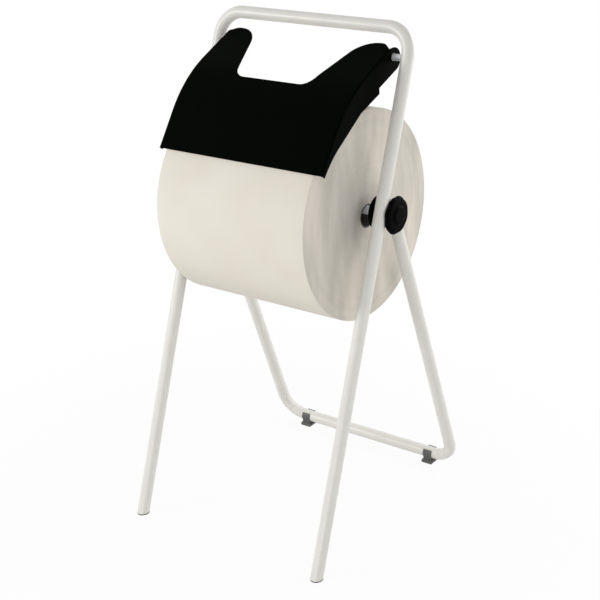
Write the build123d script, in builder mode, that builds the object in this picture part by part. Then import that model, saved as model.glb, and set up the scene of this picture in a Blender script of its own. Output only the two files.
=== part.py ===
import os
from math import asin, cos, degrees, radians, sin, sqrt, tan

from build123d import *

# Floor stand for one wide roll of wiping paper.
# Two bent tube frames form an A: a tall front hoop on two feet and a low rear hoop on a bar.
# Millimetres. +X along the roll to the right, +Y to the back, +Z up.
# The origin lies on the floor, under the middle of the whole stand.

# Frames
tube_diameter = 25.0
tube_wall = 1.5
bend_radius = 50.0
front_lean = 20.34
rear_lean = 19.27

# Hinge and spindle line, seen from the side
spindle_height = 658.5
guard_pivot_rise = 280.5
hand_room = 51.0
hinge_reach = 29.5
rear_leg_set_back = 11.7

# Roll of paper on its card core
roll_diameter = 412.0
roll_width = 353.0
roll_side_room = 23.6
core_bore = 43.0
core_wall = 2.0

# Spindle
spindle_diameter = 18.0
spindle_wall = 2.0
stud_diameter = 10.0
stud_length = 9.0
stud_root_length = 22.0

# Hinge bracket, a pressed channel welded behind each front leg
bracket_sheet = 2.5
bracket_side_gap = 0.4
bracket_eye_radius = 16.0
bracket_web_length = 46.0
bracket_web_rise = 4.0

# Black bearing bush with its large inner flange
bearing_wall = 2.0
bearing_flange_diameter = 66.0
bearing_flange_thickness = 12.8
bearing_rim_radius = 1.5
bearing_dish_diameter = 50.0
bearing_dish_depth = 2.0

# Hinge knuckle in the top end of each rear leg
knuckle_wall = 2.9
knuckle_heel = 19.0
knuckle_shoulder = 3.0
knuckle_spigot = 32.0
rear_tube_drop = 20.0
knuckle_pin_diameter = 5.0
stop_gap = 0.3

# Black hand knobs on the spindle's ends
knob_diameter = 74.0
knob_thickness = 9.0
knob_taper = 14.0
knob_lobes = 8
knob_scallop_radius = 20.0
knob_scallop_depth = 1.3
knob_boss_diameter = 36.0
knob_boss_height = 3.0
knob_edge_radius = 1.4
insert_diameter = 15.0
washer_diameter = 30.0
washer_thickness = 1.0
washer_bore_play = 0.3

# Guard that lies on the roll
guard_side_room = 18.3
guard_sheet = 2.0
guard_edge_angle = 52.5
guard_front_slope = 54.5
guard_rear_slope = 24.0
guard_front_length = 80.0
guard_pivot_cover = 20.1
guard_fold_radius = 4.0
guard_boss_radius = 22.0
guard_boss_drop = 5.0
guard_crest_lead = 3.0
guard_cheek_drop = 8.0
guard_cheek_corner_angle = 30.0
guard_shoulder_lead = 109.0
guard_shoulder_drop = 80.5
guard_step_lead = 49.0
guard_step_drop = 59.0
guard_step_height = 11.0
guard_notch_depth_y = 125.5
guard_arm_root_width = 109.0
guard_arm_end_width = 66.0
guard_arm_overhang = 2.5
guard_arm_corner_width = 17.0
guard_arm_corner_depth = 13.0
guard_notch_fillet = 28.0
guard_arm_fillet = 52.0
guard_arm_corner_fillet = 20.0

# Guard pivot: rivet nut in the leg, shoulder screw, sleeve and bush
pivot_shoulder_diameter = 10.0
pivot_thread_diameter = 8.0
pivot_head_diameter = 16.0
pivot_head_height = 4.0
pivot_hex_key = 5.0
pivot_hex_depth = 2.5
pivot_sleeve_diameter = 13.0
pivot_bush_wall = 2.0
pivot_bush_flange_diameter = 17.0
pivot_bush_flange_thickness = 1.5
rivet_nut_diameter = 11.0
rivet_nut_flange_diameter = 13.0
rivet_nut_flange_thickness = 0.8
rivet_nut_length = 12.0
pivot_thread_length = 10.0

# Feet
plug_flange_thickness = 2.5
plug_shank_length = 26.0
plug_rib_count = 3
plug_rib_start = 9.0
plug_rib_pitch = 6.5
plug_rib_width = 1.6
plug_rib_depth = 0.7
clip_from_leg = 59.8
clip_width = 20.0
clip_wall = 2.2
clip_base = 8.4
clip_jaw_angle = 42.0
clip_pad_width = 25.0
clip_pad_front = 16.5
clip_pad_back = 12.0
clip_pad_height = 6.0
clip_pad_bevel = 3.0

# Clearances
running_gap = 0.05
press_gap = 0.05
seat_gap = 0.3
overrun = 5.0

# Derived sizes
tube_radius = tube_diameter / 2
tube_bore_radius = tube_radius - tube_wall
roll_radius = roll_diameter / 2
spindle_radius = spindle_diameter / 2
stud_radius = stud_diameter / 2
bearing_bore_radius = spindle_radius + running_gap
bearing_sleeve_radius = bearing_bore_radius + bearing_wall
eye_bore_radius = bearing_sleeve_radius + running_gap
knuckle_eye_radius = eye_bore_radius + knuckle_wall
bracket_half_width = tube_radius + bracket_side_gap
bracket_gap = 2 * (bracket_half_width - bracket_sheet)
knuckle_width = bracket_gap - 2 * seat_gap
leg_x = roll_width / 2 + roll_side_room + bearing_flange_thickness + bracket_half_width
spindle_half = leg_x + bracket_half_width + seat_gap
washer_face = spindle_half + washer_thickness
clip_outer_radius = tube_radius + press_gap + clip_wall
guard_pivot_height = spindle_height + guard_pivot_rise
guard_width = 2 * (leg_x - tube_radius - guard_side_room)
top_bar_height = guard_pivot_height + hand_room
rear_bar_height = clip_base + tube_radius

# Places seen from the side: first from the front foot, then from the middle of the stand
front_slope = tan(radians(front_lean))
rear_slope = tan(radians(rear_lean))
front_cos, front_sin = cos(radians(front_lean)), sin(radians(front_lean))
rear_cos, rear_sin = cos(radians(rear_lean)), sin(radians(rear_lean))
foot_half_depth = tube_radius / front_cos
front_edge_from_foot = plug_flange_thickness * front_slope - foot_half_depth
spindle_from_foot = spindle_height * front_slope + hinge_reach / front_cos
rear_bar_from_foot = (
    spindle_from_foot
    + rear_leg_set_back / rear_cos
    + (spindle_height - rear_bar_height) * rear_slope
)
foot_y = -(front_edge_from_foot + rear_bar_from_foot + clip_outer_radius) / 2
spindle_y = foot_y + spindle_from_foot
rear_bar_y = foot_y + rear_bar_from_foot


def front_leg_y(height):
    return foot_y + height * front_slope


roll_y = spindle_y
roll_z = spindle_height - (core_bore / 2 - spindle_radius - seat_gap)
guard_pivot_y = front_leg_y(guard_pivot_height)

# Planes of the two hoops, and of each hinge seen from the side
front_plane = Plane(origin=(0, foot_y, 0), x_dir=(1, 0, 0), z_dir=(0, -front_cos, front_sin))
rear_plane = Plane(
    origin=(0, rear_bar_y, rear_bar_height), x_dir=(1, 0, 0), z_dir=(0, -rear_cos, -rear_sin)
)
front_leg_length = top_bar_height / front_cos
rear_leg_length = (
    (spindle_height - rear_bar_height) * rear_cos
    + (rear_bar_y - spindle_y) * rear_sin
    - rear_tube_drop
)


def bracket_plane(x):
    # Local x runs backwards, square to the front leg, and local y runs up the leg.
    return Plane(
        origin=(x, spindle_y - hinge_reach * front_cos, spindle_height + hinge_reach * front_sin),
        x_dir=(0, front_cos, -front_sin),
        z_dir=(1, 0, 0),
    )


def knuckle_plane(x):
    # Local x runs backwards, square to the rear leg, and local y runs up the leg.
    return Plane(
        origin=(
            x,
            spindle_y + rear_leg_set_back * rear_cos,
            spindle_height + rear_leg_set_back * rear_sin,
        ),
        x_dir=(0, rear_cos, rear_sin),
        z_dir=(1, 0, 0),
    )


def disc(x_from, x_to, y, z, radius, mode=Mode.ADD):
    # A round bar along X, added to the part that is being built.
    with BuildSketch(Plane.YZ.offset(x_from)) as end:
        with Locations((y, z)):
            Circle(radius)
    extrude(end.sketch, amount=x_to - x_from, mode=mode)


def spindle_disc(x_from, x_to, radius, mode=Mode.ADD):
    disc(x_from, x_to, spindle_y, spindle_height, radius, mode)


def pivot_disc(x_from, x_to, radius, mode=Mode.ADD):
    disc(x_from, x_to, guard_pivot_y, guard_pivot_height, radius, mode)


def keep(name, shape):
    shape.label = name
    export_step(shape, f"parts/{name}.step")


def keep_pair(name, right_shape):
    # The piece is made for the right-hand side, and the left one is its mirror image.
    keep(f"{name}_right", right_shape)
    keep(f"{name}_left", mirror(right_shape, about=Plane.YZ))


os.makedirs("parts", exist_ok=True)

# Front hoop: two legs and the top bar, one tube bent twice
with BuildPart() as front_frame:
    with BuildLine(front_plane) as hoop_line:
        FilletPolyline(
            (-leg_x, -tube_diameter),
            (-leg_x, front_leg_length),
            (leg_x, front_leg_length),
            (leg_x, -tube_diameter),
            radius=bend_radius,
        )
    with BuildSketch(Plane(origin=hoop_line.line @ 0, z_dir=hoop_line.line % 0)):
        Circle(tube_radius)
        Circle(tube_bore_radius, mode=Mode.SUBTRACT)
    sweep(path=hoop_line.line)
    split(bisect_by=Plane.XY.offset(plug_flange_thickness), keep=Keep.TOP)
    for side in (-1, 1):
        pivot_disc(side * (leg_x - tube_diameter), side * leg_x,
                   rivet_nut_diameter / 2 + press_gap, Mode.SUBTRACT)
keep("front_frame", front_frame.part)

# Rear hoop: two legs and the bar near the floor
with BuildPart() as rear_frame:
    with BuildLine(rear_plane) as rear_line:
        FilletPolyline(
            (-leg_x, rear_leg_length),
            (-leg_x, 0),
            (leg_x, 0),
            (leg_x, rear_leg_length),
            radius=bend_radius,
        )
    with BuildSketch(Plane(origin=rear_line.line @ 0, z_dir=rear_line.line % 0)):
        Circle(tube_radius)
        Circle(tube_bore_radius, mode=Mode.SUBTRACT)
    sweep(path=rear_line.line)
    for side in (-1, 1):
        with BuildSketch(knuckle_plane(side * leg_x)):
            with Locations((0, -rear_tube_drop - knuckle_spigot / 2)):
                Circle(knuckle_pin_diameter / 2 + press_gap)
        extrude(amount=tube_diameter, both=True, mode=Mode.SUBTRACT)
keep("rear_frame", rear_frame.part)

# Plug in the end of a front leg, with the thin flange that stands on the floor
with BuildPart() as foot_plug:
    with BuildSketch():
        with Locations((leg_x, front_leg_y(plug_flange_thickness))):
            Ellipse(tube_radius, foot_half_depth)
    extrude(amount=plug_flange_thickness)
    shank_radius = tube_bore_radius - press_gap
    shank_plane = Plane(
        origin=(leg_x, foot_y, 0), x_dir=(1, 0, 0), z_dir=(0, front_sin, front_cos)
    )
    with BuildSketch(shank_plane):
        Circle(shank_radius - plug_rib_depth)
    extrude(amount=plug_shank_length)
    for rib in range(plug_rib_count):
        with BuildSketch(shank_plane.offset(plug_rib_start + rib * plug_rib_pitch)):
            Circle(shank_radius)
        extrude(amount=plug_rib_width)
    split(bisect_by=Plane.XY, keep=Keep.TOP)
keep_pair("front_foot_plug", foot_plug.part)

# Saddle clip under the rear bar, snapped on from below
with BuildPart() as foot_clip:
    clip_x = leg_x - clip_from_leg
    with BuildSketch(Plane.YZ.offset(clip_x)):
        with Locations((rear_bar_y, rear_bar_height)):
            Circle(clip_outer_radius)
        with Locations((rear_bar_y, rear_bar_height / 2)):
            Rectangle(2 * clip_pad_back, rear_bar_height)
    extrude(amount=clip_width / 2, both=True)
    with BuildSketch(Plane.YZ.offset(clip_x)):
        with BuildLine():
            Polyline(
                (rear_bar_y - clip_pad_front, 0),
                (rear_bar_y + clip_pad_back, 0),
                (rear_bar_y + clip_pad_back, clip_pad_height),
                (rear_bar_y - clip_pad_front + clip_pad_bevel, clip_pad_height),
                (rear_bar_y - clip_pad_front, clip_pad_height - clip_pad_bevel),
                close=True,
            )
        make_face()
    extrude(amount=clip_pad_width / 2, both=True)
    jaw_mouth = clip_outer_radius + overrun
    jaw_reach = jaw_mouth / tan(radians(clip_jaw_angle))
    with BuildSketch(Plane.YZ.offset(clip_x)):
        with Locations((rear_bar_y, rear_bar_height)):
            Circle(tube_radius + press_gap)
        with BuildLine():
            Polyline(
                (rear_bar_y, rear_bar_height),
                (rear_bar_y + jaw_reach, rear_bar_height + jaw_mouth),
                (rear_bar_y - jaw_reach, rear_bar_height + jaw_mouth),
                close=True,
            )
        make_face()
    extrude(amount=clip_pad_width, both=True, mode=Mode.SUBTRACT)
keep_pair("rear_foot_clip", foot_clip.part)

# Channel bracket behind the front leg, which carries the spindle and the rear leg
web_back = tube_radius + bracket_sheet
with BuildPart() as bracket:
    with BuildSketch(bracket_plane(leg_x)):
        with Locations((hinge_reach, 0)):
            Circle(bracket_eye_radius)
        with Locations((tube_radius + bracket_sheet / 2, bracket_web_rise)):
            Rectangle(bracket_sheet, bracket_web_length)
        make_hull()
    extrude(amount=bracket_half_width, both=True)
    slot_length = hinge_reach + bracket_eye_radius + overrun
    with BuildSketch(bracket_plane(leg_x)):
        with Locations((web_back + slot_length / 2, 0)):
            Rectangle(slot_length, 2 * bracket_web_length)
    extrude(amount=bracket_gap / 2, both=True, mode=Mode.SUBTRACT)
    spindle_disc(leg_x - tube_diameter, leg_x + tube_diameter, eye_bore_radius, Mode.SUBTRACT)
keep_pair("hinge_bracket", bracket.part)

# Black bush: its sleeve carries the spindle and is the rear leg's hinge pin
with BuildPart() as bearing:
    flange_face = leg_x - bracket_half_width
    flange_inner = flange_face - bearing_flange_thickness
    spindle_disc(flange_inner, flange_face, bearing_flange_diameter / 2)
    fillet(bearing.edges().filter_by(GeomType.CIRCLE), radius=bearing_rim_radius)
    spindle_disc(flange_inner, flange_inner + bearing_dish_depth,
                 bearing_dish_diameter / 2, Mode.SUBTRACT)
    spindle_disc(flange_inner, leg_x + bracket_half_width, bearing_sleeve_radius)
    spindle_disc(flange_inner - overrun, leg_x + tube_diameter, bearing_bore_radius, Mode.SUBTRACT)
keep_pair("spindle_bearing", bearing.part)

# Knuckle: an eye with a stop heel, on a spigot inside the rear leg
with BuildPart() as knuckle:
    with BuildSketch(bracket_plane(leg_x)):
        with Locations((hinge_reach, 0)):
            Circle(knuckle_eye_radius)
        heel_front = web_back + stop_gap
        heel_depth = hinge_reach - heel_front
        with Locations((heel_front + heel_depth / 2, knuckle_heel / 2)):
            Rectangle(heel_depth, knuckle_heel)
        make_hull()
    extrude(amount=knuckle_width / 2, both=True)
    with BuildSketch(knuckle_plane(leg_x)):
        with Locations((-rear_leg_set_back, 0)):
            Circle(knuckle_eye_radius)
        with Locations((0, -rear_tube_drop + knuckle_shoulder / 2)):
            Rectangle(2 * shank_radius, knuckle_shoulder)
        make_hull()
    extrude(amount=knuckle_width / 2, both=True)
    tube_end = knuckle_plane(leg_x)
    spigot_plane = Plane(
        origin=tube_end.from_local_coords((0, -rear_tube_drop, 0)),
        x_dir=(1, 0, 0),
        z_dir=(0, -rear_sin, rear_cos),
    )
    with BuildSketch(spigot_plane):
        Circle(tube_radius)
    extrude(amount=knuckle_shoulder)
    with BuildSketch(spigot_plane):
        Circle(shank_radius)
    extrude(amount=-knuckle_spigot)
    with BuildSketch(knuckle_plane(leg_x)):
        with Locations((0, -rear_tube_drop - knuckle_spigot / 2)):
            Circle(knuckle_pin_diameter / 2 + press_gap)
    extrude(amount=tube_diameter, both=True, mode=Mode.SUBTRACT)
    spindle_disc(leg_x - tube_diameter, leg_x + tube_diameter, eye_bore_radius, Mode.SUBTRACT)
keep_pair("rear_hinge_knuckle", knuckle.part)

# Pin across each rear leg, which holds the knuckle's spigot
with BuildPart() as knuckle_pin:
    with BuildSketch(knuckle_plane(leg_x)):
        with Locations((0, -rear_tube_drop - knuckle_spigot / 2)):
            Circle(knuckle_pin_diameter / 2)
    extrude(amount=tube_radius, both=True)
keep_pair("knuckle_pin", knuckle_pin.part)

# Spindle: a steel tube with a threaded stud in each end
with BuildPart() as spindle_tube:
    spindle_disc(-spindle_half, spindle_half, spindle_radius)
    spindle_disc(-spindle_half - overrun, spindle_half + overrun,
                 spindle_radius - spindle_wall, Mode.SUBTRACT)
keep("spindle_tube", spindle_tube.part)

with BuildPart() as stud:
    spindle_disc(spindle_half - stud_root_length, spindle_half,
                 spindle_radius - spindle_wall - press_gap)
    spindle_disc(spindle_half, washer_face + stud_length, stud_radius)
keep_pair("spindle_stud", stud.part)

with BuildPart() as washer:
    spindle_disc(spindle_half, washer_face, washer_diameter / 2)
    spindle_disc(spindle_half - overrun, washer_face + overrun,
                 stud_radius + washer_bore_play, Mode.SUBTRACT)
keep_pair("knob_washer", washer.part)

# Black knob with shallow finger scallops and a low boss
with BuildPart() as knob:
    with BuildSketch(Plane.YZ.offset(washer_face)):
        with Locations((spindle_y, spindle_height)):
            Circle(knob_diameter / 2)
            scallop_ring = knob_diameter / 2 + knob_scallop_radius - knob_scallop_depth
            with PolarLocations(scallop_ring, knob_lobes):
                Circle(knob_scallop_radius, mode=Mode.SUBTRACT)
    extrude(amount=knob_thickness, taper=knob_taper)
    fillet(knob.faces().sort_by(Axis.X)[-1].edges(), radius=knob_edge_radius)
    with BuildSketch(Plane.YZ.offset(washer_face + knob_thickness)):
        with Locations((spindle_y, spindle_height)):
            Circle(knob_boss_diameter / 2)
    extrude(amount=knob_boss_height)
    fillet(knob.faces().sort_by(Axis.X)[-1].edges(), radius=knob_edge_radius)
    insert_end = washer_face + stud_length + seat_gap
    spindle_disc(washer_face - overrun, insert_end, insert_diameter / 2 + press_gap, Mode.SUBTRACT)
keep_pair("knob", knob.part)

with BuildPart() as insert:
    spindle_disc(washer_face, insert_end, insert_diameter / 2)
    spindle_disc(washer_face - overrun, insert_end + overrun,
                 stud_radius + running_gap, Mode.SUBTRACT)
keep_pair("knob_insert", insert.part)

# The roll hangs on the spindle, so its own axis lies lower
with BuildPart() as roll_core:
    disc(-roll_width / 2, roll_width / 2, roll_y, roll_z, core_bore / 2 + core_wall)
    disc(-roll_width, roll_width, roll_y, roll_z, core_bore / 2, Mode.SUBTRACT)
keep("roll_core", roll_core.part)

with BuildPart() as paper_roll:
    disc(-roll_width / 2, roll_width / 2, roll_y, roll_z, roll_radius)
    disc(-roll_width, roll_width, roll_y, roll_z, core_bore / 2 + core_wall, Mode.SUBTRACT)
keep("paper_roll", paper_roll.part)

# Guard: a sheet bowed over the roll, with a cheek at each end and a notch at the back


def along(slope):
    return Vector(cos(radians(slope)), sin(radians(slope)))


def outward(slope):
    return Vector(-sin(radians(slope)), cos(radians(slope)))


def on_roll(radius, angle_from_top):
    turn = radians(angle_from_top)
    return Vector(roll_y - radius * sin(turn), roll_z + radius * cos(turn))


guard_edge = on_roll(roll_radius + seat_gap + guard_sheet, guard_edge_angle)
bow_start = guard_edge + along(guard_front_slope) * guard_front_length
bow_mid_slope = (guard_front_slope + guard_rear_slope) / 2
guard_pivot = Vector(guard_pivot_y, guard_pivot_height)
# The bow's radius brings the sheet's rear slope to its height over the pivot.
rise_to_cover = guard_pivot_cover + (guard_pivot - bow_start).dot(outward(guard_rear_slope))
guard_bow_radius = rise_to_cover / (1 - cos(radians(guard_front_slope - guard_rear_slope)))
bow_centre = bow_start - outward(guard_front_slope) * guard_bow_radius


def under_the_guard(inset, lead):
    # Everything under the guard's outer surface, or under a surface that lies inset below it.
    start = guard_edge - outward(guard_front_slope) * inset - along(guard_front_slope) * lead
    bend = bow_start - outward(guard_front_slope) * inset
    middle = bow_centre + outward(bow_mid_slope) * (guard_bow_radius - inset)
    rear = bow_centre + outward(guard_rear_slope) * (guard_bow_radius - inset)
    tail = rear + along(guard_rear_slope) * roll_diameter
    front_drop = start - outward(guard_front_slope) * roll_radius
    with BuildSketch(Plane.YZ) as region:
        with BuildLine():
            Line(start, bend)
            ThreePointArc(bend, middle, rear)
            Line(rear, tail)
            Polyline(tail, (tail.X, roll_z), (front_drop.X, roll_z), front_drop, start)
        make_face()
    return region.sketch, [(start + bend) / 2, middle, (rear + tail) / 2]


def touch(point, centre, radius, turn):
    # Where a line from the point touches a circle, on the side that the turn's sign picks.
    reach = centre - point
    swing = asin(radius / reach.length) * turn
    tangent = reach.rotate(Axis.Z, degrees(swing)).normalized()
    return point + tangent * sqrt(reach.length**2 - radius**2)


def fold_edges(part, x, points):
    # The edges at both ends of the sheet that run through the given points of a side view.
    folds = []
    for end in (-x, x):
        for point in points:
            folds.append(part.edges().sort_by_distance((end, point.X, point.Y))[0])
    return folds


cheek_radius = roll_radius - guard_cheek_drop
cheek_corner = on_roll(cheek_radius, guard_cheek_corner_angle)
shoulder = guard_pivot - Vector(guard_shoulder_lead, guard_shoulder_drop)
step_low = guard_pivot - Vector(guard_step_lead, guard_step_drop)
step_high = step_low + Vector(0, guard_step_height)
boss_centre = guard_pivot - outward(guard_rear_slope) * guard_boss_drop
crest = (
    guard_pivot
    + outward(guard_rear_slope) * guard_pivot_cover
    - along(guard_rear_slope) * guard_crest_lead
)
boss_under = touch(step_high, boss_centre, guard_boss_radius, -1)
boss_over = touch(crest, boss_centre, guard_boss_radius, 1)
crest_back = crest + Vector(0, roll_radius)
behind_x = boss_over.X + guard_boss_radius

# Over the pivot the cheeks are cut away here, and the sheet runs on as the arms' ends.
with BuildSketch(Plane.YZ) as behind_crest:
    with BuildLine():
        Polyline(crest, boss_over, (behind_x, boss_over.Y), (behind_x, crest_back.Y), crest_back,
                 close=True)
    make_face()

with BuildPart() as guard_former:
    inner_region, fold_points = under_the_guard(guard_sheet, guard_front_length / 2)
    former_half = guard_width / 2 - guard_sheet
    extrude(inner_region, amount=former_half, both=True)
    inner_folds = fold_edges(guard_former, former_half, fold_points)
    fillet(inner_folds, radius=guard_fold_radius - guard_sheet)

with BuildPart() as guard:
    outer_region, fold_points = under_the_guard(0, 0)
    extrude(outer_region, amount=guard_width / 2, both=True)
    fillet(fold_edges(guard, guard_width / 2, fold_points), radius=guard_fold_radius)
    add(guard_former.part, mode=Mode.SUBTRACT)
    with BuildSketch(Plane.YZ):
        with BuildLine():
            low_angle = guard_edge_angle + guard_cheek_corner_angle / 2
            low = on_roll(cheek_radius, low_angle)
            middle_low = on_roll(cheek_radius, (low_angle + guard_cheek_corner_angle) / 2)
            Polyline(cheek_corner, shoulder, step_low, step_high, boss_under, boss_over, crest)
            front_x = low.X - overrun
            Polyline(crest, crest_back, (front_x, crest_back.Y), (front_x, low.Y), low)
            ThreePointArc(low, middle_low, cheek_corner)
        make_face()
        with Locations(boss_centre):
            Circle(guard_boss_radius)
        add(behind_crest.sketch_local)
    extrude(amount=guard_width, both=True, mode=Mode.INTERSECT)
    for side in (-1, 1):
        cheek_cut = Pos(side * former_half, 0, 0) * behind_crest.sketch
        extrude(cheek_cut, amount=side * (guard_sheet + overrun), mode=Mode.SUBTRACT)
    arm_end_y = guard_pivot_y + guard_arm_overhang
    notch_y = guard_pivot_y - guard_notch_depth_y
    rear_y = arm_end_y + 2 * guard_boss_radius
    arm_corner_y = arm_end_y - guard_arm_corner_depth
    arm_corner_x = former_half - guard_arm_corner_width
    notch_half_width = guard_width / 2 - guard_arm_root_width
    arm_end_half_width = guard_width / 2 - guard_arm_end_width
    with BuildSketch(Plane.XY.offset(roll_z)) as notch:
        with BuildLine():
            Polyline(
                (-notch_half_width, notch_y),
                (notch_half_width, notch_y),
                (arm_end_half_width, arm_end_y),
                (arm_corner_x, arm_end_y),
                (former_half, arm_corner_y),
                (former_half, rear_y),
                (-former_half, rear_y),
                (-former_half, arm_corner_y),
                (-arm_corner_x, arm_end_y),
                (-arm_end_half_width, arm_end_y),
                close=True,
            )
        make_face()
        fillet(notch.vertices().group_by(Axis.Y)[0], radius=guard_notch_fillet)
        arm_corners = notch.vertices().sort_by_distance((0, arm_end_y, roll_z))[:2]
        fillet(arm_corners, radius=guard_arm_fillet)
        for side in (-1, 1):
            end_corner = notch.vertices().sort_by_distance((side * arm_corner_x, arm_end_y, roll_z))[0]
            fillet(end_corner, radius=guard_arm_corner_fillet)
    extrude(amount=roll_diameter, mode=Mode.SUBTRACT)
    pivot_disc(-guard_width, guard_width,
               pivot_shoulder_diameter / 2 + running_gap + pivot_bush_wall + press_gap, Mode.SUBTRACT)
keep("guard", guard.part)

# Plain bush in each cheek, running on the shoulder screw
bush_bore = pivot_shoulder_diameter / 2 + running_gap
cheek_inner = guard_width / 2 - guard_sheet
bush_inner = cheek_inner - pivot_bush_flange_thickness
with BuildPart() as guard_bush:
    pivot_disc(bush_inner, cheek_inner, pivot_bush_flange_diameter / 2)
    pivot_disc(cheek_inner, guard_width / 2, bush_bore + pivot_bush_wall)
    pivot_disc(bush_inner - overrun, guard_width / 2 + overrun, bush_bore, Mode.SUBTRACT)
keep_pair("guard_bush", guard_bush.part)

nut_face = leg_x - tube_radius - rivet_nut_flange_thickness
head_face = bush_inner - seat_gap
with BuildPart() as pivot_sleeve:
    pivot_disc(guard_width / 2 + seat_gap, nut_face, pivot_sleeve_diameter / 2)
    pivot_disc(guard_width / 2 - overrun, leg_x, bush_bore, Mode.SUBTRACT)
keep_pair("guard_pivot_sleeve", pivot_sleeve.part)

with BuildPart() as pivot_screw:
    pivot_disc(head_face - pivot_head_height, head_face, pivot_head_diameter / 2)
    with BuildSketch(Plane.YZ.offset(head_face - pivot_head_height)):
        with Locations(guard_pivot):
            RegularPolygon(pivot_hex_key / 2, 6, major_radius=False)
    extrude(amount=pivot_hex_depth, mode=Mode.SUBTRACT)
    pivot_disc(head_face, nut_face, pivot_shoulder_diameter / 2)
    pivot_disc(nut_face, nut_face + pivot_thread_length, pivot_thread_diameter / 2)
keep_pair("guard_pivot_screw", pivot_screw.part)

with BuildPart() as rivet_nut:
    pivot_disc(nut_face, leg_x - tube_radius - press_gap, rivet_nut_flange_diameter / 2)
    pivot_disc(nut_face, nut_face + rivet_nut_length, rivet_nut_diameter / 2)
    pivot_disc(nut_face - overrun, leg_x, pivot_thread_diameter / 2 + press_gap, Mode.SUBTRACT)
keep_pair("guard_rivet_nut", rivet_nut.part)
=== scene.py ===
import math

import bmesh
import bpy
from mathutils import Matrix, Vector


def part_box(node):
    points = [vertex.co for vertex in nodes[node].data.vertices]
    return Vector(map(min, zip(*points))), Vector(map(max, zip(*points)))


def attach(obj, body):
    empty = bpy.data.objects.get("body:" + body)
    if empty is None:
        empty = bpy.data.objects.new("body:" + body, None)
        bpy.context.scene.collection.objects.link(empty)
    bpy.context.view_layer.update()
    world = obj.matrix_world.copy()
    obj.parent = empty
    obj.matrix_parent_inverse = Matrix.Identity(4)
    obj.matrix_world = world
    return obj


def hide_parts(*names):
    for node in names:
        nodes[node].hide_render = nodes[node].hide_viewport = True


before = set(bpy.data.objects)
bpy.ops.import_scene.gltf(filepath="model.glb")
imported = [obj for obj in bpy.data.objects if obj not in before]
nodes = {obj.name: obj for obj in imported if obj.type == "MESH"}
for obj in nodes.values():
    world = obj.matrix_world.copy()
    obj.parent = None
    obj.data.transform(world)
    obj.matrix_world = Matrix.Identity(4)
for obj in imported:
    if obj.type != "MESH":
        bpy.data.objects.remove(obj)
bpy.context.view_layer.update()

# Folding floor stand with a wide roll of wiping paper. Metres, the origin on the floor under the middle.

mm = 0.001
scene = bpy.context.scene


def middle(name):
    low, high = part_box(name)
    return (low + high) / 2


def size(name):
    low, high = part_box(name)
    return high - low


# The camera, fitted to the hoops, feet and roll

view = {
    "azimuth": 37.7265,          # degrees round from the front
    "elevation": 22.602,
    "tilt": -2.7124,             # roll of the picture about the line of sight
    "distance": 2.90853,
    "target": (-0.06065, 0.10357, 0.39072),
    "lens": 82.241,              # on a 36 mm wide square frame
    "sensor": 36.0,
}


def makeCamera():
    turn, rise, tilt = (math.radians(view[k]) for k in ("azimuth", "elevation", "tilt"))
    back = Vector((math.sin(turn) * math.cos(rise), -math.cos(turn) * math.cos(rise), math.sin(rise)))
    levelRight = Vector((math.cos(turn), math.sin(turn), 0))
    levelUp = back.cross(levelRight)
    right = levelRight * math.cos(tilt) + levelUp * math.sin(tilt)
    up = levelUp * math.cos(tilt) - levelRight * math.sin(tilt)
    camera = bpy.data.objects.new("photoCamera", bpy.data.cameras.new("photoCamera"))
    camera.data.lens = view["lens"]
    camera.data.sensor_width = view["sensor"]
    camera.data.sensor_height = view["sensor"]
    camera.data.sensor_fit = "AUTO"
    camera.matrix_world = Matrix.Translation(Vector(view["target"]) + back * view["distance"]) @ Matrix(
        (right, up, back)).transposed().to_4x4()
    scene.collection.objects.link(camera)
    scene.camera = camera


makeCamera()
print("camera in place")


# Helpers for shader and geometry trees

def addNode(tree, kind, inputs=None, **settings):
    node = tree.nodes.new(kind)
    for name, value in settings.items():
        setattr(node, name, value)
    for name, value in (inputs or {}).items():
        if isinstance(value, bpy.types.NodeSocket):
            tree.links.new(value, node.inputs[name])
        else:
            node.inputs[name].default_value = value
    return node


def calculate(tree, operation, first, second=0.0, third=0.0, clamp=False):
    inputs = {0: first, 1: second, 2: third}
    return addNode(tree, "ShaderNodeMath", inputs, operation=operation, use_clamp=clamp).outputs[0]


def startMaterial(name, finish):
    # A plain roughness is what a viewer shows that can't read the nodes.
    material = bpy.data.materials.new(name)
    material.use_nodes = True
    tree = material.node_tree
    shader = tree.nodes["Principled BSDF"]
    shader.inputs["Base Color"].default_value = (*finish["color"], 1)
    shader.inputs["Roughness"].default_value = finish.get("plainRoughness") or finish["roughness"]
    shader.inputs["Metallic"].default_value = finish.get("metallic", 0.0)
    if "gloss" in finish:
        shader.inputs["Specular IOR Level"].default_value = finish["gloss"]
    place = addNode(tree, "ShaderNodeTexCoord").outputs["Object"]
    return material, tree, shader, place


def cloud(tree, place, scale, detail, roughness=0.5):
    # The finishes give these noises as (scale, detail) or (scale, detail, roughness).
    return addNode(tree, "ShaderNodeTexNoise", {
        "Vector": place, "Scale": scale, "Detail": detail, "Roughness": roughness}).outputs["Fac"]


def stretched(tree, place, scale):
    return addNode(tree, "ShaderNodeMapping", {"Vector": place, "Scale": scale}).outputs["Vector"]


def between(tree, factor, low, high, fromLow=0.0, fromHigh=1.0):
    node = addNode(tree, "ShaderNodeMapRange", {
        "Value": factor, "From Min": fromLow, "From Max": fromHigh, "To Min": low, "To Max": high})
    return node.outputs["Result"]


def blendColors(tree, factor, first, second):
    node = addNode(tree, "ShaderNodeMix", data_type="RGBA")
    tree.links.new(factor, node.inputs["Factor"])
    for socket, color in ((6, first), (7, second)):
        if isinstance(color, bpy.types.NodeSocket):
            tree.links.new(color, node.inputs[socket])
        else:
            node.inputs[socket].default_value = (*color, 1)
    return node.outputs[2]


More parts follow.
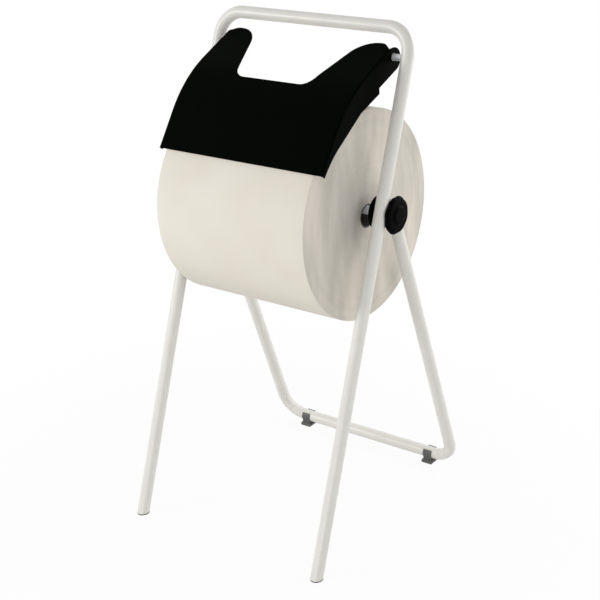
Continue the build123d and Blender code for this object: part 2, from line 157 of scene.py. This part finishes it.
def vary(tree, shader, noise, finish):
    # Colour and roughness drift together with the noise.
    tree.links.new(blendColors(tree, noise, finish["color"], finish["shade"]), shader.inputs["Base Color"])
    tree.links.new(between(tree, noise, *finish["roughness"]), shader.inputs["Roughness"])


def addBump(tree, shader, height, distance, strength):
    bump = addNode(tree, "ShaderNodeBump", {"Height": height, "Distance": distance, "Strength": strength})
    tree.links.new(bump.outputs["Normal"], shader.inputs["Normal"])


def paint(material, *names):
    for name in names:
        for slot in nodes[name].material_slots:
            slot.material = material


def bothSides(*names):
    return [name + side for name in names for side in ("_left", "_right")]


def startTree(name, sizes):
    # A geometry tree that takes a shape, one named input for each size, given as its type, and a finish.
    tree = bpy.data.node_groups.new(name, "GeometryNodeTree")
    tree.interface.new_socket("Shape", in_out="INPUT", socket_type="NodeSocketGeometry")
    for label, number in sizes.items():
        kind = "NodeSocketInt" if number is int else "NodeSocketFloat"
        tree.interface.new_socket(label, in_out="INPUT", socket_type=kind)
    tree.interface.new_socket("Finish", in_out="INPUT", socket_type="NodeSocketMaterial")
    tree.interface.new_socket("Shape", in_out="OUTPUT", socket_type="NodeSocketGeometry")
    return tree, addNode(tree, "NodeGroupInput").outputs


def endTree(tree, shape, finish):
    realized = addNode(tree, "GeometryNodeRealizeInstances", {"Geometry": shape})
    colored = addNode(tree, "GeometryNodeSetMaterial", {
        "Geometry": realized.outputs["Geometry"], "Material": finish})
    addNode(tree, "NodeGroupOutput", {"Shape": colored.outputs["Geometry"]})


def grow(name, tree, sizes, finish, points, sharp):
    # Runs the tree on a line through the points, and keeps the result as a plain mesh. Edges that turn by
    # more than the sharp angle, in degrees, stay crisp.
    line = bpy.data.meshes.new(name + "Line")
    line.from_pydata(points, [(i, i + 1) for i in range(len(points) - 1)], [])
    piece = bpy.data.objects.new(name, line)
    scene.collection.objects.link(piece)
    modifier = piece.modifiers.new(name, "NODES")
    modifier.node_group = tree
    values = {**sizes, "Finish": finish}
    for socket in tree.interface.items_tree:
        if socket.in_out == "INPUT" and socket.name in values:
            modifier[socket.identifier] = values[socket.name]
    ready = piece.evaluated_get(bpy.context.evaluated_depsgraph_get())
    mesh = bpy.data.meshes.new_from_object(ready)
    piece.modifiers.remove(modifier)
    piece.data = mesh
    form = bmesh.new()
    form.from_mesh(mesh)
    bmesh.ops.recalc_face_normals(form, faces=form.faces)
    form.to_mesh(mesh)
    form.free()
    mesh.shade_smooth()
    mesh.set_sharp_from_angle(angle=math.radians(sharp))
    return piece


# Finishes of the frame, the guard and the fittings

powderWhite = {
    "color": (0.755, 0.742, 0.70),
    "shade": (0.71, 0.697, 0.652),     # slightly thicker coat, in wide soft patches
    "roughness": (0.27, 0.36),
    "plainRoughness": 0.3,
    "patch": (22.0, 2.0),
    "peel": (620.0, 1.5),              # orange peel, about 1.6 mm across
    "peelDepth": 0.02 * mm,
    "peelStrength": 0.6,
}


def makePowderWhite():
    material, tree, shader, place = startMaterial("whitePowderCoat", powderWhite)
    vary(tree, shader, cloud(tree, place, *powderWhite["patch"]), powderWhite)
    peel = cloud(tree, place, *powderWhite["peel"])
    addBump(tree, shader, peel, powderWhite["peelDepth"], powderWhite["peelStrength"])
    return material


powderBlack = {
    "color": (0.0004, 0.0007, 0.0004),
    "shade": (0.0006, 0.0014, 0.0005),
    "roughness": (0.55, 0.66),
    "plainRoughness": 0.6,
    "gloss": 0.012,                    # the photo's sheet is black all over, with no highlight
    "grain": (900.0, 2.0, 0.6),
    "grainDepth": 0.035 * mm,
    "grainStrength": 0.5,
    "wash": (14.0, 3.0),               # wide faint green-black patches
}


def makePowderBlack():
    material, tree, shader, place = startMaterial("blackPowderCoat", powderBlack)
    vary(tree, shader, cloud(tree, place, *powderBlack["wash"]), powderBlack)
    grain = cloud(tree, place, *powderBlack["grain"])
    addBump(tree, shader, grain, powderBlack["grainDepth"], powderBlack["grainStrength"])
    return material


mouldings = {
    "black": {"color": (0.0005, 0.0006, 0.0005), "shade": (0.0009, 0.001, 0.0009),
              "roughness": (0.5, 0.62), "plainRoughness": 0.45, "gloss": 0.02},
    "grey": {"color": (0.105, 0.105, 0.1), "shade": (0.085, 0.085, 0.082),
             "roughness": (0.42, 0.55), "plainRoughness": 0.45, "gloss": 0.4},
    "nylon": {"color": (0.62, 0.6, 0.54), "shade": (0.56, 0.54, 0.48),
              "roughness": (0.34, 0.44), "plainRoughness": 0.45, "gloss": 0.4},
    "grain": (1500.0, 1.0),
    "grainDepth": 0.025 * mm,
    "grainStrength": 0.5,
    "flow": (45.0, 2.0),               # soft patches that the plastic leaves as it fills the mould
}


def makeMoulded(name, shades):
    material, tree, shader, place = startMaterial(name, shades)
    vary(tree, shader, cloud(tree, place, *mouldings["flow"]), shades)
    grain = cloud(tree, place, *mouldings["grain"])
    addBump(tree, shader, grain, mouldings["grainDepth"], mouldings["grainStrength"])
    return material


zincPlate = {
    "color": (0.72, 0.73, 0.74),
    "shade": (0.64, 0.65, 0.67),
    "metallic": 0.35,                  # a dull plate, more grey than bright
    "roughness": (0.34, 0.46),
    "plainRoughness": 0.3,
    "bloom": (60.0, 3.0),
    "drawStretch": (12.0, 900.0, 900.0),
    "drawLines": (1.0, 2.0),           # fine lines along X, as the bar was drawn
    "drawDepth": 0.01 * mm,
    "drawStrength": 0.5,
}


def makeZinc():
    material, tree, shader, place = startMaterial("zincPlate", zincPlate)
    vary(tree, shader, cloud(tree, place, *zincPlate["bloom"]), zincPlate)
    lines = cloud(tree, stretched(tree, place, zincPlate["drawStretch"]), *zincPlate["drawLines"])
    addBump(tree, shader, lines, zincPlate["drawDepth"], zincPlate["drawStrength"])
    return material


turnedBrass = {
    "color": (0.62, 0.43, 0.17),
    "shade": (0.48, 0.31, 0.12),       # tarnish
    "metallic": 1.0,
    "roughness": (0.25, 0.4),
    "plainRoughness": 0.3,
    "bloom": (240.0, 3.0),
}


def makeBrass():
    material, tree, shader, place = startMaterial("turnedBrass", turnedBrass)
    vary(tree, shader, cloud(tree, place, *turnedBrass["bloom"]), turnedBrass)
    return material


whiteCoat = makePowderWhite()
blackCoat = makePowderBlack()
blackPlastic = makeMoulded("blackMoulding", mouldings["black"])
greyPlastic = makeMoulded("greyMoulding", mouldings["grey"])
nylon = makeMoulded("naturalNylon", mouldings["nylon"])
zinc = makeZinc()
brass = makeBrass()

paint(whiteCoat, "front_frame", "rear_frame", *bothSides("hinge_bracket", "rear_hinge_knuckle"))
paint(blackCoat, "guard")
paint(blackPlastic, *bothSides("spindle_bearing"))
paint(greyPlastic, *bothSides("front_foot_plug", "rear_foot_clip"))
paint(nylon, *bothSides("guard_bush"))
paint(brass, *bothSides("knob_insert"))
paint(zinc, "spindle_tube", *bothSides("spindle_stud", "knob_washer", "knuckle_pin", "guard_pivot_screw",
                                       "guard_pivot_sleeve", "guard_rivet_nut"))
print("finishes on the construction")


# Turned forms about an axis along X: the wound roll and the hand knobs

mergeWithin = 0.004 * mm         # closes the turn's seam and its poles


def turnedTree(name, sizes, shiftAxial, shiftRadial):
    # Each point of the line is (distance along the axis, radius, share of the relief that it takes). A
    # grid is wrapped round the axis, and its extra last column meets the first, which closes the step
    # that a loose end leaves.
    tree, given = startTree(name, {**sizes, "Around": int, "Axis Y": float, "Axis Z": float, "Side": float})
    shapeSize = addNode(tree, "GeometryNodeAttributeDomainSize", {"Geometry": given["Shape"]})
    count = shapeSize.outputs["Point Count"]
    columns = calculate(tree, "ADD", given["Around"], 2.0)
    grid = addNode(tree, "GeometryNodeMeshGrid", {"Vertices X": columns, "Vertices Y": count})
    # The added quarter keeps rounding from putting a point in the column before its own.
    index = addNode(tree, "GeometryNodeInputIndex").outputs[0]
    column = calculate(tree, "FLOOR", calculate(tree, "DIVIDE", calculate(tree, "ADD", index, 0.25), count))
    row = calculate(tree, "SUBTRACT", index, calculate(tree, "MULTIPLY", column, count))
    last = calculate(tree, "GREATER_THAN", column, calculate(tree, "ADD", given["Around"], 0.5))
    turned = calculate(tree, "DIVIDE", calculate(tree, "MINIMUM", column, given["Around"]), given["Around"])
    wound = calculate(tree, "MULTIPLY", turned, calculate(tree, "SUBTRACT", 1.0, last))
    place = addNode(tree, "GeometryNodeInputPosition").outputs[0]
    sample = addNode(tree, "GeometryNodeSampleIndex", {
        "Geometry": given["Shape"], "Index": row}, data_type="FLOAT_VECTOR", domain="POINT")
    tree.links.new(place, sample.inputs["Value"])
    along, radius, share = addNode(tree, "ShaderNodeSeparateXYZ", {0: sample.outputs["Value"]}).outputs
    angle = calculate(tree, "MULTIPLY", turned, 2 * math.pi)
    cosine, sine = calculate(tree, "COSINE", angle), calculate(tree, "SINE", angle)
    known = {"along": along, "radius": radius, "share": share, "angle": angle, "cosine": cosine,
             "sine": sine, "wound": wound, "given": given}
    newAlong = shiftAxial(tree, known)
    newRadius = shiftRadial(tree, known)
    spot = addNode(tree, "ShaderNodeCombineXYZ", {
        "X": calculate(tree, "MULTIPLY", newAlong, given["Side"]),
        "Y": calculate(tree, "MULTIPLY_ADD", newRadius, sine, given["Axis Y"]),
        "Z": calculate(tree, "MULTIPLY_ADD", newRadius, cosine, given["Axis Z"])})
    moved = addNode(tree, "GeometryNodeSetPosition", {
        "Geometry": grid.outputs["Mesh"], "Position": spot.outputs["Vector"]})
    merged = addNode(tree, "GeometryNodeMergeByDistance", {
        "Geometry": moved.outputs["Geometry"], "Distance": mergeWithin})
    endTree(tree, merged.outputs["Geometry"], given["Finish"])
    return tree


def unevenness(tree, known, alongScale, radiusScale, roundScale, detail, roughness=0.6):
    # Smooth noise that closes on itself round the axis, from about -0.5 to 0.5.
    spot = addNode(tree, "ShaderNodeCombineXYZ", {
        "X": calculate(tree, "MULTIPLY_ADD", known["radius"], radiusScale,
                       calculate(tree, "MULTIPLY", known["along"], alongScale)),
        "Y": calculate(tree, "MULTIPLY", known["cosine"], roundScale),
        "Z": calculate(tree, "MULTIPLY", known["sine"], roundScale)})
    noise = addNode(tree, "ShaderNodeTexNoise", {
        "Vector": spot.outputs["Vector"], "Scale": 1.0, "Detail": detail, "Roughness": roughness})
    return calculate(tree, "SUBTRACT", noise.outputs["Fac"], 0.5)


rollAxis = middle("paper_roll")
rollSize = size("paper_roll")
coreSize = size("roll_core")

paper = {
    "around": 256,
    "rings": 76,                 # of mesh on each end face
    "alongSteps": 16,
    "sharp": 50.0,               # degrees
    "rim": 1.0 * mm,             # soft edge between the face and the outside
    "rimSteps": (15, 30, 45, 60, 75),        # degrees round that edge
    "coreLip": 0.4 * mm,         # flat paper beside the core
    "coreGap": 1.2 * mm,         # from the core to the first uneven turn
    "reliefFade": 4 * mm,        # out from there, until the turns are fully uneven
    "endDepth": 0.9 * mm,        # how far the wound edge lies in from its proudest turns
    # unevenness as (along the axis, along the radius, round the axis, detail)
    "fineTurns": (3.0, 420.0, 0.8, 2.0),     # changes every few millimetres of radius
    "fineShare": 0.45,
    "wideTurns": (2.0, 60.0, 1.4, 1.0),
    "wideShare": 1.1,
    "looseness": (5.0, 0.0, 2.2, 2.0),
    "slack": 0.35 * mm,          # how uneven the outside is
    "slackFade": 12 * mm,        # in from the outside, until the turns are even
    "lap": 0.5 * mm,             # the loose end's step, under the guard's tear edge
    "lapAngle": 52.5,            # degrees from the top
}

paperLook = {
    "color": (0.785, 0.75, 0.67),
    "shade": (0.745, 0.695, 0.615),
    "roughness": 0.9,
    "gloss": 0.12,
    "soft": (7.0, 2.0),
    "softRange": (0.35, 0.75),
    "crepeStretch": (260.0, 1500.0, 1500.0),
    "crepe": (1.0, 3.0, 0.6),
    "crepeDepth": 0.12 * mm,
    "crepeStrength": 0.7,
    "edgeColor": (0.70, 0.655, 0.585),       # of the wound ends
    "edgeShade": (0.51, 0.485, 0.43),
    "endsFrom": (2.6 * mm, 1.4 * mm),        # in from the proudest turns, where the ends' colour starts
    "rimFrom": (1.0 * mm, 0.3 * mm),         # in from the outside, where it stops
    "turns": (900.0, 3.0, 0.7),
    "turnShare": 0.16,
    "turnBump": 1.4,
    "bands": (75.0, 1.0, 0.5),
    "bandShare": 0.10,
    "pressedStretch": (1.0, 2.6, 0.7),
    "pressed": (8.0, 2.0),
    "pressedShare": 0.88,
    "streakRange": (0.40, 0.80),
    "paintedHubShadow": (-0.056, 0.050),   # middle of a painted shadow, a darker patch beside the hub where the hub and leg shade the end, from the axis, back and up
    "paintedHubShadowSize": (0.108, 0.135),
    "paintedHubShadowShare": 0.70,
    "paintedHubShadowSoftness": 0.2,
}


def turnNoise(tree, radius, scale, detail, roughness):
    # Noise that changes with the radius alone, so it makes rings.
    return addNode(tree, "ShaderNodeTexNoise", {
        "W": calculate(tree, "MULTIPLY", radius, scale), "Scale": 1.0, "Detail": detail,
        "Roughness": roughness}, noise_dimensions="1D").outputs["Fac"]


def makePaper():
    look = paperLook
    material, tree, shader, place = startMaterial("wipingPaper", look)
    halfWidth, outer = rollSize.x / 2, rollSize.z / 2
    x, y, z = addNode(tree, "ShaderNodeSeparateXYZ", {0: place}).outputs
    fromAxis = [calculate(tree, "SUBTRACT", y, rollAxis.y), calculate(tree, "SUBTRACT", z, rollAxis.z)]
    squares = [calculate(tree, "MULTIPLY", part, part) for part in fromAxis]
    radius = calculate(tree, "SQRT", calculate(tree, "ADD", *squares))
    onFace = between(tree, calculate(tree, "ABSOLUTE", x), 0.0, 1.0,
                     *(halfWidth - inset for inset in look["endsFrom"]))
    nearRim = between(tree, radius, 0.0, 1.0, *(outer - inset for inset in look["rimFrom"]))
    face = calculate(tree, "MULTIPLY", onFace, calculate(tree, "SUBTRACT", 1.0, nearRim), clamp=True)
    turns = turnNoise(tree, radius, *look["turns"])
    bands = turnNoise(tree, radius, *look["bands"])
    rings = calculate(tree, "MULTIPLY_ADD", turns, look["turnShare"],
                      calculate(tree, "MULTIPLY", bands, look["bandShare"]))
    pressed = cloud(tree, stretched(tree, place, look["pressedStretch"]), *look["pressed"])
    streaks = between(tree, calculate(tree, "MULTIPLY_ADD", pressed, look["pressedShare"], rings),
                      0.0, 1.0, *look["streakRange"])
    # Painted shadow: a soft darker patch on each wound end beside the hub, standing in for the hub's and
    # leg's shade, mixed in with the rings and streaks.
    offPatch = [calculate(tree, "DIVIDE", calculate(tree, "SUBTRACT", part, start), reach)
                for part, start, reach in zip(fromAxis, look["paintedHubShadow"], look["paintedHubShadowSize"])]
    patchSquares = [calculate(tree, "MULTIPLY", part, part) for part in offPatch]
    patch = between(tree, calculate(tree, "SQRT", calculate(tree, "ADD", *patchSquares)), 1.0, 0.0)
    paintedHubShadow = calculate(tree, "SMOOTH_MIN", patch, 1.0, look["paintedHubShadowSoftness"])
    ringsAndPaintedShadow = calculate(tree, "MULTIPLY_ADD", paintedHubShadow, look["paintedHubShadowShare"], streaks, clamp=True)
    crepe = cloud(tree, stretched(tree, place, look["crepeStretch"]), *look["crepe"])
    soft = between(tree, cloud(tree, place, *look["soft"]), 0.0, 1.0, *look["softRange"])
    outside = blendColors(tree, soft, look["color"], look["shade"])
    ends = blendColors(tree, ringsAndPaintedShadow, look["edgeColor"], look["edgeShade"])
    tree.links.new(blendColors(tree, face, outside, ends), shader.inputs["Base Color"])
    bumps = calculate(tree, "MULTIPLY_ADD", calculate(tree, "MULTIPLY", face, turns), look["turnBump"],
                      calculate(tree, "MULTIPLY", crepe, calculate(tree, "SUBTRACT", 1.0, face)))
    addBump(tree, shader, bumps, look["crepeDepth"], look["crepeStrength"])
    return material


def rollLine():
    # From the right end's core out over its face, across the outside and back to the core on the left.
    half, outer, bore = rollSize.x / 2, rollSize.z / 2, coreSize.z / 2
    rim, steps, first = paper["rim"], paper["alongSteps"], bore + paper["coreGap"]
    face = [first + (outer - rim - first) * i / paper["rings"] for i in range(paper["rings"] + 1)]
    corner = [(rim * (1 - math.cos(math.radians(a))), rim * (1 - math.sin(math.radians(a))))
              for a in paper["rimSteps"]]
    right = [(half, bore, 0.0), (half, bore + paper["coreLip"], 0.0)]
    right += [(half, r, min(1.0, (r - first) / paper["reliefFade"])) for r in face]
    right += [(half - dx, outer - dr, 1 - i / len(corner)) for i, (dx, dr) in enumerate(corner)]
    outside = [(half - rim - 2 * (half - rim) * i / steps, outer, 0.0) for i in range(steps + 1)]
    left = [(-x, r, share) for x, r, share in reversed(right)]
    return right + outside + left + [(0.0, bore, 0.0), (half, bore, 0.0)]


def rollAxial(tree, known):
    # The wound edge lies in from the face by a depth that changes with the radius, on both ends alike.
    fine = unevenness(tree, known, *paper["fineTurns"])
    wide = unevenness(tree, known, *paper["wideTurns"])
    depth = calculate(tree, "MULTIPLY_ADD", fine, paper["fineShare"],
                      calculate(tree, "MULTIPLY", wide, paper["wideShare"]))
    depth = calculate(tree, "ADD", depth, 0.5, clamp=True)
    inwards = calculate(tree, "MULTIPLY", calculate(tree, "MULTIPLY", depth, known["share"]),
                        paper["endDepth"])
    side = calculate(tree, "SIGN", known["along"])
    return calculate(tree, "SUBTRACT", known["along"], calculate(tree, "MULTIPLY", inwards, side))


def rollRadial(tree, known):
    # The outside lies in by its slack, and by the loose end's step on one side of it.
    outer = rollSize.z / 2
    outerShare = between(tree, known["radius"], 0.0, 1.0, outer - paper["slackFade"], outer - paper["rim"])
    lap = calculate(tree, "MULTIPLY", known["wound"], paper["lap"])
    loose = calculate(tree, "ADD", unevenness(tree, known, *paper["looseness"]), 0.5, clamp=True)
    inwards = calculate(tree, "MULTIPLY_ADD", loose, paper["slack"], lap)
    return calculate(tree, "SUBTRACT", known["radius"], calculate(tree, "MULTIPLY", inwards, outerShare))


paperFinish = makePaper()
rollTree = turnedTree("woundRoll", {}, rollAxial, rollRadial)
paperRoll = grow("paperRoll", rollTree, {
    "Around": paper["around"], "Axis Y": rollAxis.y, "Axis Z": rollAxis.z, "Side": 1.0},
    paperFinish, rollLine(), paper["sharp"])
# The tree starts its turn at the top, so the roll is turned until the lap is at the tear edge.
paperRoll.data.transform(Matrix.Translation(rollAxis)
                         @ Matrix.Rotation(math.radians(paper["lapAngle"]), 4, "X")
                         @ Matrix.Translation(-rollAxis))
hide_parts("paper_roll")
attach(paperRoll, "roll")
print("paper roll wound,", len(paperRoll.data.polygons), "faces")


card = {
    "color": (0.16, 0.157, 0.148),
    "shade": (0.12, 0.118, 0.11),
    "roughness": 0.88,
    "gloss": 0.15,
    "pulp": (420.0, 4.0, 0.65),
    "pulpBump": 0.3,
    "seamLead": 62.0 * mm,       # how far the wound strip moves along in one turn
    "seamWidth": 0.012,          # half of it, as a share of the strip
    "seamDark": 0.35,
    "seamShare": 0.8,
    "seamDepth": 0.15 * mm,
    "seamStrength": 0.6,
}


def makeCard():
    material, tree, shader, place = startMaterial("woundCard", card)
    x, y, z = addNode(tree, "ShaderNodeSeparateXYZ", {0: place}).outputs
    angle = calculate(tree, "ARCTAN2", calculate(tree, "SUBTRACT", z, rollAxis.z),
                      calculate(tree, "SUBTRACT", y, rollAxis.y))
    strip = calculate(tree, "ADD", calculate(tree, "DIVIDE", x, card["seamLead"]),
                      calculate(tree, "DIVIDE", angle, 2 * math.pi))
    edge = calculate(tree, "ABSOLUTE", calculate(tree, "SUBTRACT", calculate(tree, "FRACT", strip), 0.5))
    seam = between(tree, edge, 1.0, 0.0, 0.0, card["seamWidth"])
    pulp = cloud(tree, place, *card["pulp"])
    color = blendColors(tree, pulp, card["color"], card["shade"])
    dark = tuple(part * card["seamDark"] for part in card["shade"])
    seamMix = calculate(tree, "MULTIPLY", seam, card["seamShare"], clamp=True)
    tree.links.new(blendColors(tree, seamMix, color, dark), shader.inputs["Base Color"])
    height = calculate(tree, "SUBTRACT", calculate(tree, "MULTIPLY", pulp, card["pulpBump"]), seam)
    addBump(tree, shader, height, card["seamDepth"], card["seamStrength"])
    return material


paint(makeCard(), "roll_core")
print("card core finished")


# Hand knobs: a domed disc with shallow finger scallops and a low boss

knob = {
    "around": 160,
    "lobes": 8,
    "lobeDepth": 1.3 * mm,
    "lobeFrom": 24.0 * mm,       # the scallops fade out from the rim towards this radius
    "rim": 36.95 * mm,
    "lobePower": 1.6,            # higher makes narrower scallops
    "sharp": 50.0,
    "bore": 7.55 * mm,
    "boreDepth": 9.3 * mm,
    "boreChamfer": 0.3 * mm,
    "seat": 20 * mm,             # radius of the flat back that meets the washer
    # distance out from the washer and radius, from the rim at the back to the middle of the boss
    "outline": ((0.0, 35.4), (0.15, 36.2), (0.55, 36.8), (1.2, 36.95), (2.2, 36.75), (3.6, 36.2),
                (5.0, 35.5), (6.4, 34.4), (7.5, 32.8), (8.3, 30.6), (8.75, 28.0), (8.95, 25.2), (8.9, 22.2),
                (8.85, 20.2), (9.0, 19.0), (9.5, 18.3), (10.3, 17.9), (11.1, 17.4), (11.65, 16.4),
                (11.9, 14.8), (11.98, 12.6), (11.98, 9.0), (11.98, 4.5), (11.98, 0.0)),
}


def knobRadial(tree, known):
    given = known["given"]
    ripple = calculate(tree, "COSINE", calculate(tree, "MULTIPLY", known["angle"], given["Lobes"]))
    hollow = calculate(tree, "POWER", calculate(tree, "MULTIPLY_ADD", ripple, 0.5, 0.5), knob["lobePower"])
    fade = between(tree, known["radius"], 0.0, 1.0, knob["lobeFrom"], knob["rim"])
    inwards = calculate(tree, "MULTIPLY", calculate(tree, "MULTIPLY", hollow, fade), given["Lobe Depth"])
    return calculate(tree, "SUBTRACT", known["radius"], inwards)


knobTree = turnedTree("scallopedKnob", {"Lobes": float, "Lobe Depth": float},
                      lambda tree, known: known["along"], knobRadial)
spindleAxis = middle("spindle_tube")


def makeKnob(side, name):
    low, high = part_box("knob_" + name)
    back = min(abs(low.x), abs(high.x))
    deep, bore, chamfer = back + knob["boreDepth"], knob["bore"], knob["boreChamfer"]
    line = [(deep, 0.0, 0), (deep, bore, 0), (back + chamfer, bore, 0), (back, bore + chamfer, 0),
            (back, knob["seat"], 0)]
    line += [(back + out * mm, radius * mm, 0) for out, radius in knob["outline"]]
    piece = grow("handKnob_" + name, knobTree, {
        "Around": knob["around"], "Lobes": float(knob["lobes"]), "Lobe Depth": knob["lobeDepth"],
        "Axis Y": spindleAxis.y, "Axis Z": spindleAxis.z, "Side": side}, blackPlastic, line, knob["sharp"])
    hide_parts("knob_" + name)
    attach(piece, "knob_" + name)


for side, name in ((-1.0, "left"), (1.0, "right")):
    makeKnob(side, name)
print("hand knobs turned")


# Weld beads between each hinge bracket and its leg

weld = {
    "lean": 20.34,               # of the front leg, degrees
    "reach": 29.5 * mm,          # from the leg's middle to the spindle
    "depth": 11.2 * mm,          # from the leg's middle to the bead
    "aside": 8.3 * mm,           # from the leg's middle to either side
    "from": -16.5 * mm,          # along the leg, from the spindle's height
    "to": 24.5 * mm,
    "thick": 2.0 * mm,           # radius of one ripple
    "pitch": 1.5 * mm,
    "flat": 0.62,                # a ripple's length along the bead, as a share of its width
    "swell": (0.9, 1.05),        # least and greatest size of a ripple, as a share
    "seed": 4,
    "smooth": 3,                 # subdivisions of a ripple
    "sharp": 40.0,
}


def makeWelds():
    tree, given = startTree("weldBead", {"Pitch": float, "Thick": float, "Flat": float})
    curve = addNode(tree, "GeometryNodeMeshToCurve", {"Mesh": given["Shape"]})
    spaced = addNode(tree, "GeometryNodeResampleCurve", {"Curve": curve.outputs["Curve"]}, mode="LENGTH")
    tree.links.new(given["Pitch"], spaced.inputs["Length"])
    ripple = addNode(tree, "GeometryNodeMeshIcoSphere", {
        "Radius": given["Thick"], "Subdivisions": weld["smooth"]})
    tangent = addNode(tree, "GeometryNodeInputTangent").outputs[0]
    turn = addNode(tree, "FunctionNodeAlignRotationToVector", {"Vector": tangent}, axis="Z")
    squat = addNode(tree, "ShaderNodeCombineXYZ", {"X": 1.0, "Y": 1.0, "Z": given["Flat"]})
    swell = addNode(tree, "FunctionNodeRandomValue", {
        2: weld["swell"][0], 3: weld["swell"][1], "Seed": weld["seed"]}, data_type="FLOAT")
    sizes = addNode(tree, "ShaderNodeVectorMath", {
        0: squat.outputs["Vector"], "Scale": swell.outputs[1]}, operation="SCALE")
    ripples = addNode(tree, "GeometryNodeInstanceOnPoints", {
        "Points": spaced.outputs["Curve"], "Instance": ripple.outputs["Mesh"],
        "Rotation": turn.outputs["Rotation"], "Scale": sizes.outputs["Vector"]})
    endTree(tree, ripples.outputs["Instances"], given["Finish"])
    lean = math.radians(weld["lean"])
    up, back = Vector((0, math.sin(lean), math.cos(lean))), Vector((0, math.cos(lean), -math.sin(lean)))
    for name in ("left", "right"):
        legX = middle("hinge_bracket_" + name).x
        start = Vector((legX, spindleAxis.y, spindleAxis.z)) - back * (weld["reach"] - weld["depth"])
        for edge, sideways in (("inner", -1), ("outer", 1)):
            shift = Vector((sideways * weld["aside"] * (1 if legX > 0 else -1), 0, 0))
            ends = [start + shift + up * weld[key] for key in ("from", "to")]
            piece = grow(f"weldBead_{name}_{edge}", tree, {
                "Pitch": weld["pitch"], "Thick": weld["thick"], "Flat": weld["flat"]},
                whiteCoat, ends, weld["sharp"])
            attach(piece, "front_frame")


makeWelds()
print("brackets welded")


# Plain studio: a pale floor and soft lamps

studio = {
    "floorColor": (0.74, 0.74, 0.73),
    "paleness": 0.93,                  # share of plain white that the camera sees near the stand
    "paleFrom": 0.35,                  # metres from the stand's middle, where the floor starts to go white
    "paleTo": 1.1,
    "floorHalf": 6.0,
    "world": (1.0, 1.0, 1.0),
    "worldLight": 0.57,
    "key": {"place": (-2.3, -2.4, 1.6), "aim": (0, 0, 0.5), "size": 1.6, "power": 44.0},
    "low": {"place": (0.3, -2.6, 0.15), "aim": (0, 0.1, 0.3), "size": 1.2, "power": 14.0},
    "fill": {"place": (2.4, -0.3, 0.3), "aim": (0.15, 0.2, 0.15), "size": 1.4, "power": 7.0},
    "rim": {"place": (1.2, 1.35, 1.05), "aim": (0.1, 0.05, 0.6), "size": 1.5, "power": 12.0},
    "back": {"place": (0.35, 1.45, 0.95), "aim": (0.1, 0.25, 0.05), "size": 0.9, "power": 6.0},
}


def makeLamp(name, lamp):
    light = bpy.data.lights.new(name, "AREA")
    light.shape = "DISK"
    light.size = lamp["size"]
    light.energy = lamp["power"]
    holder = bpy.data.objects.new(name, light)
    reach = Vector(lamp["aim"]) - Vector(lamp["place"])
    facing = reach.to_track_quat("-Z", "Y").to_matrix().to_4x4()
    holder.matrix_world = Matrix.Translation(lamp["place"]) @ facing
    scene.collection.objects.link(holder)


def seenDirectly(tree):
    path = addNode(tree, "ShaderNodeLightPath")
    glossy = calculate(tree, "MAXIMUM", path.outputs["Is Camera Ray"], path.outputs["Is Glossy Ray"])
    return calculate(tree, "MAXIMUM", glossy, path.outputs["Is Transmission Ray"])


def makeFloor():
    half = studio["floorHalf"]
    mesh = bpy.data.meshes.new("floor")
    mesh.from_pydata([(-half, -half, 0), (half, -half, 0), (half, half, 0), (-half, half, 0)], [],
                     [(0, 1, 2, 3)])
    floor = bpy.data.objects.new("floor", mesh)
    scene.collection.objects.link(floor)
    material = bpy.data.materials.new("paleFloor")
    material.use_nodes = True
    tree = material.node_tree
    tree.nodes.clear()
    place = addNode(tree, "ShaderNodeTexCoord").outputs["Object"]
    away = addNode(tree, "ShaderNodeVectorMath", {0: place}, operation="LENGTH").outputs["Value"]
    paleness = between(tree, away, studio["paleness"], 1.0, studio["paleFrom"], studio["paleTo"])
    diffuse = addNode(tree, "ShaderNodeBsdfDiffuse", {"Color": (*studio["floorColor"], 1)})
    white = addNode(tree, "ShaderNodeEmission", {"Color": (1, 1, 1, 1), "Strength": 1.0})
    share = calculate(tree, "MULTIPLY", seenDirectly(tree), paleness)
    surface = addNode(tree, "ShaderNodeMixShader", {0: share, 1: diffuse.outputs[0], 2: white.outputs[0]})
    output = addNode(tree, "ShaderNodeOutputMaterial")
    tree.links.new(surface.outputs[0], output.inputs["Surface"])
    mesh.materials.append(material)


def makeWorld():
    world = bpy.data.worlds.new("studio")
    world.use_nodes = True
    tree = world.node_tree
    background = tree.nodes["Background"]
    background.inputs["Color"].default_value = (*studio["world"], 1)
    strength = between(tree, seenDirectly(tree), studio["worldLight"], 1.0)
    tree.links.new(strength, background.inputs["Strength"])
    scene.world = world


makeFloor()
makeWorld()
for lampName in ("key", "low", "fill", "rim", "back"):
    makeLamp(lampName, studio[lampName])
print("studio lit")

scene.view_settings.view_transform = "Standard"
